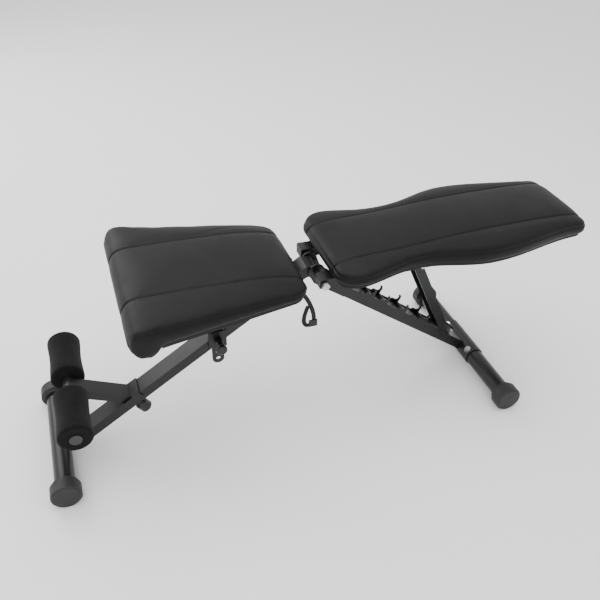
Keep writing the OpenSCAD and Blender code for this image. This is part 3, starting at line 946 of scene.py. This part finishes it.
@dataclass
class Studio:
    """Pale floor, soft light and the camera."""

    eye: tuple[float, float, float] = (-0.4734, -1.1142, 1.2843)
    yaw: float = math.radians(21.48)
    pitch: float = math.radians(39.21)
    roll: float = math.radians(-2.27)
    lens: float = 39.49
    floor_reach: float = 12.0
    sky: float = 1.25
    lamps: tuple[Lamp, ...] = (
        Lamp("overhead", (-0.1, 0.3, 2.6), (0.0, 0.0, 0.4), 2.4, 46.0),
        Lamp("near_side", (-0.9, -2.4, 1.5), (0.0, 0.0, 0.35), 1.6, 16.0),
        Lamp("behind", (-1.5, 2.3, 1.7), (0.0, 0.0, 0.3), 1.8, 40.0),
    )

    def floor(self) -> bpy.types.Object:
        """A plain pale floor."""
        size = self.floor_reach
        points = np.array([(-size, -size, 0), (size, -size, 0), (size, size, 0), (-size, size, 0)], float)
        obj = mesh_object("floor", points, [(0, 1, 2, 3)])
        r = Recipe("floor_paint").constants(Roughness=0.9, Specular_IOR_Level=0.1)
        tint = r.between(r.noise(1.5, 2.0), (0.90, 0.90, 0.90), (0.92, 0.92, 0.92))
        obj.data.materials.append(r.set(Base_Color=tint).material)
        return obj

    def light(self) -> None:
        """A pale sky, a broad light overhead, a softer one on the near side and one behind."""
        world = bpy.data.worlds.new("pale_room")
        bpy.context.scene.world = world
        world.use_nodes = True
        background = world.node_tree.nodes["Background"]
        background.inputs["Color"].default_value = (1.0, 1.0, 1.0, 1.0)
        background.inputs["Strength"].default_value = self.sky
        for lamp in self.lamps:
            lamp.add()

    def camera(self) -> None:
        """A level view turned by yaw and pitch, then rolled about its own axis."""
        sy, cy, sp, cp = math.sin(self.yaw), math.cos(self.yaw), math.sin(self.pitch), math.cos(self.pitch)
        ahead = np.array([sy * cp, cy * cp, -sp])
        level = np.array([cy, -sy, 0.0])
        down = np.cross(ahead, level)
        right = math.cos(self.roll) * level + math.sin(self.roll) * down
        under = -math.sin(self.roll) * level + math.cos(self.roll) * down
        data = bpy.data.cameras.new("view")
        data.lens = self.lens
        data.sensor_width = 36.0
        data.clip_end = 60.0
        obj = bpy.data.objects.new("view", data)
        bpy.context.scene.collection.objects.link(obj)
        obj.matrix_world = placed_axes(right, -under, -ahead, self.eye)
        bpy.context.scene.camera = obj

    def build(self) -> None:
        """Sets everything up."""
        self.floor()
        self.light()
        self.camera()


def finishes() -> dict[str, Callable[[], bpy.types.Material]]:
    """The finish of each material slot."""
    return {
        "powder_black": PowderCoat("powder_coat", (0.0055, 0.0057, 0.0060), (0.011, 0.011, 0.012)).build,
        "satin_black": PowderCoat("satin_coat", (0.0070, 0.0072, 0.0076), (0.013, 0.013, 0.014),
                                  (0.28, 0.38)).build,
        "rubber_black": Moulded("cap_rubber", (0.0115, 0.0115, 0.012), (0.021, 0.021, 0.022), 0.58).build,
        "plug_grey": Moulded("plug_plastic", (0.020, 0.020, 0.021), (0.032, 0.032, 0.034), 0.5).build,
        "knob_black": Moulded("knob_plastic", (0.0085, 0.0085, 0.009), (0.015, 0.015, 0.016), 0.42,
                              500.0).build,
        "foam_black": FoamSkin().build,
        "zinc": Zinc().build,
        "plywood": Ply().build,
        "webbing_black": Moulded("tab_plastic", (0.006, 0.006, 0.0065), (0.012, 0.012, 0.013), 0.5).build,
    }


def main() -> None:
    """Builds every soft piece, dresses the frame and sets up the studio."""
    logging.basicConfig(level=logging.INFO, format="%(name)s: %(message)s")
    metal = Metalwork(finishes())
    metal.dress({"seat_pad", "backrest_pad", "foam_near", "foam_far", "strap"})
    seat = SeatPad("seat_cover", "seat", "seat_pad", seam_y=88 * MM, edge_radius=9 * MM, swell=4.5 * MM)
    seat.build(Vinyl("seat_vinyl", seat.seam_y))
    back = BackPad("backrest_cover", "backrest", "backrest_pad", seam_y=78 * MM, edge_radius=13 * MM,
                   swell=4 * MM)
    back.build(Vinyl("backrest_vinyl", back.seam_y))
    skin = metal.material("foam_black")
    for side in ("near", "far"):
        FoamRoller("foam_" + side, "foam_" + side).build(skin)
    Strap().build(Webbing())
    Studio().build()


if __name__ == "__main__":
    main()
